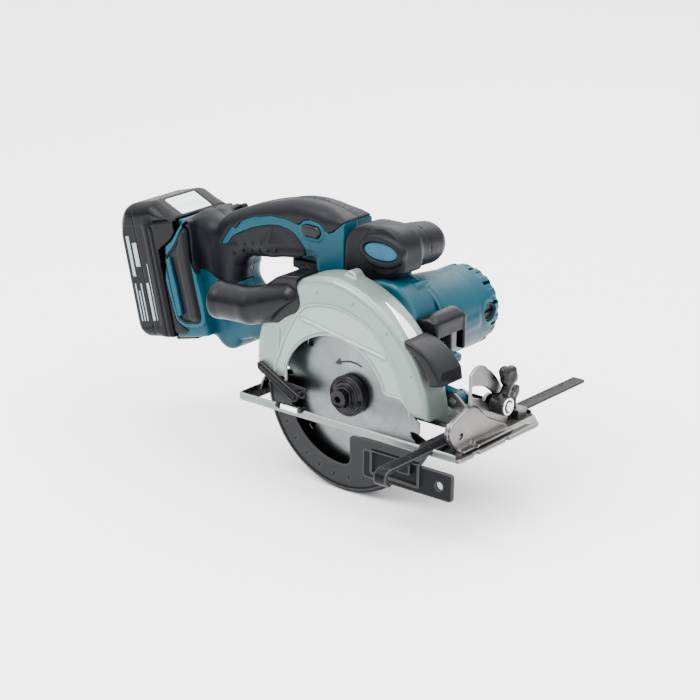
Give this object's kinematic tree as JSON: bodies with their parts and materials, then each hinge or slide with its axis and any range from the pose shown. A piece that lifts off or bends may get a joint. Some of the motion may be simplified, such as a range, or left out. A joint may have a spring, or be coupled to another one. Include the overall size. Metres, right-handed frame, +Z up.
{
  "type": "cordless circular saw",
  "caption": "Hand-held battery circular saw with swinging lower guard, tilting and depth-adjusting base plate, side fence, loop handle with trigger and slide-off battery pack.",
  "frame": {"origin": "on the plane of the base plate's sole, straight below the blade's axis, in the blade's plane", "axes": "+X the cutting direction, +Y from the blade towards the motor, +Z up"},
  "size_m": [0.3897, 0.2602, 0.2123],
  "materials": {
    "teal_plastic": "satin moulded",
    "teal_alloy": "satin painted die casting",
    "black_rubber": "matt",
    "teal_inlay": "satin",
    "black_plastic": "satin moulded",
    "lamp_lens": "frosted",
    "silver_paint": "satin painted die casting",
    "dark_paint": "satin",
    "blade_steel": "ground",
    "bright_steel": "machined",
    "core_steel": "matt",
    "copper": "turned",
    "fan_plastic": "matt",
    "board": "satin",
    "cell_metal": "wrapped",
    "pale_plastic": "satin",
    "plate_steel": "pressed, zinc plated",
    "black_steel": "satin black",
    "lever_black": "plastic coated steel"
  },
  "bodies": {
    "saw_body": {"handle_shell_right": "teal_plastic", "handle_shell_left": "teal_plastic", "grip_right": "black_rubber", "grip_left": "black_rubber", "front_grip": "black_rubber", "front_grip_badge": "teal_inlay", "bumper_right": "black_rubber", "bumper_left": "black_rubber", "terminal_block": "black_plastic", "gear_housing": "teal_alloy", "motor_housing": "teal_plastic", "brush_caps": "black_plastic", "upper_guard": "silver_paint", "guard_front_cover": "black_plastic", "dust_nozzle": "black_plastic", "lamp_housing": "black_plastic", "lamp_lens": "lamp_lens", "gearbox_bearings": "bright_steel", "motor_bearings": "bright_steel", "motor_can": "core_steel", "field_magnets": "core_steel", "carbon_brushes": "black_plastic", "switch_module": "black_plastic", "controller_board": "board", "housing_screws": "bright_steel", "guard_screws": "bright_steel", "guard_spring": "bright_steel"},
    "blade_set": {"saw_blade": "blade_steel", "spindle": "bright_steel", "inner_flange": "bright_steel", "outer_flange": "dark_paint", "blade_bolt": "dark_paint", "arbor_gear": "bright_steel"},
    "idler": {"idler_shaft": "bright_steel", "idler_gear": "bright_steel"},
    "armature": {"motor_shaft": "bright_steel", "armature_core": "core_steel", "commutator": "copper", "cooling_fan": "fan_plastic"},
    "lower_guard_set": {"lower_guard": "dark_paint", "guard_lever": "dark_paint"},
    "trigger": {"trigger": "black_plastic"},
    "lock_off": {"lock_off_button": "black_plastic"},
    "shaft_lock": {"shaft_lock_button": "bright_steel"},
    "battery": {"battery_case_rear": "black_plastic", "battery_case_front": "black_plastic", "battery_cells": "cell_metal"},
    "battery_release": {"battery_button": "pale_plastic"},
    "swivel_frame": {"front_bracket": "plate_steel", "depth_guide": "black_steel", "pivot_pins": "bright_steel"},
    "depth_clamp": {"depth_lever": "lever_black"},
    "bevel_clamp": {"bevel_lever": "lever_black"},
    "base": {"base_plate": "plate_steel", "bevel_quadrant": "plate_steel", "rear_bevel_post": "plate_steel", "fence_clamp": "plate_steel"},
    "fence": {"fence_bar": "black_steel", "fence_plate": "dark_paint"},
    "fence_clamp_screw": {"fence_screw": "lever_black"}
  },
  "joints": [
    {"name": "blade_spin", "type": "hinge", "parent": "saw_body", "child": "blade_set", "pos_m": [0, 0, 0.017], "axis": [0, 1, 0], "continuous": true},
    {"name": "idler_spin", "type": "hinge", "parent": "saw_body", "child": "idler", "pos_m": [0.0058, 0, 0.03614], "axis": [0, 1, 0], "continuous": true},
    {"name": "armature_spin", "type": "hinge", "parent": "saw_body", "child": "armature", "pos_m": [0.01377, 0, 0.06246], "axis": [0, 1, 0], "continuous": true},
    {"name": "lower_guard_swing", "type": "hinge", "parent": "saw_body", "child": "lower_guard_set", "pos_m": [0, 0, 0.017], "axis": [0, 1, 0], "range_deg": [0, 115], "stiffness_Nm_per_rad": 0.06, "springref_deg": -28.65},
    {"name": "trigger_pull", "type": "slide", "parent": "saw_body", "child": "trigger", "axis": [-0.2425, 0, 0.9701], "range_m": [0, 0.005], "stiffness_N_per_m": 700, "springref_m": -0.002},
    {"name": "lock_off_press", "type": "slide", "parent": "saw_body", "child": "lock_off", "axis": [0, 1, 0], "range_m": [-0.002, 0.002], "stiffness_N_per_m": 600},
    {"name": "shaft_lock_press", "type": "slide", "parent": "saw_body", "child": "shaft_lock", "axis": [-1, 0, 0], "range_m": [0, 0.0023], "stiffness_N_per_m": 500, "springref_m": -0.001},
    {"name": "battery_slide", "type": "slide", "parent": "saw_body", "child": "battery", "axis": [-0.2419, 0, 0.9703], "range_m": [0, 0.11]},
    {"name": "battery_button_press", "type": "slide", "parent": "battery", "child": "battery_release", "axis": [-0.3886, 0, -0.9214], "range_m": [0, 0.0016], "stiffness_N_per_m": 600, "springref_m": -0.001},
    {"name": "depth_swing", "type": "hinge", "parent": "saw_body", "child": "swivel_frame", "pos_m": [0.0845, 0, 0.027], "axis": [0, 1, 0], "range_deg": [-26, 0]},
    {"name": "depth_lever_turn", "type": "hinge", "parent": "saw_body", "child": "depth_clamp", "pos_m": [-0.07348, 0, 0.02424], "axis": [0, 1, 0], "range_deg": [0, 60]},
    {"name": "bevel_tilt", "type": "hinge", "parent": "swivel_frame", "child": "base", "pos_m": [0, 0, 0.0055], "axis": [1, 0, 0], "range_deg": [-45, 0]},
    {"name": "bevel_lever_turn", "type": "hinge", "parent": "swivel_frame", "child": "bevel_clamp", "pos_m": [0, 0.0303, 0.0284], "axis": [1, 0, 0], "range_deg": [-30, 0]},
    {"name": "fence_slide", "type": "slide", "parent": "base", "child": "fence", "axis": [0, -1, 0], "range_m": [-0.015, 0.08]},
    {"name": "fence_screw_turn", "type": "hinge", "parent": "base", "child": "fence_clamp_screw", "pos_m": [0.09575, 0.076, 0], "axis": [0, 0, 1], "range_deg": [-90, 90]}
  ],
  "couplings": [
    {"joint": "idler_spin", "follows": "blade_spin", "ratio": -1.6667},
    {"joint": "armature_spin", "follows": "blade_spin", "ratio": 5.6667}
  ]
}
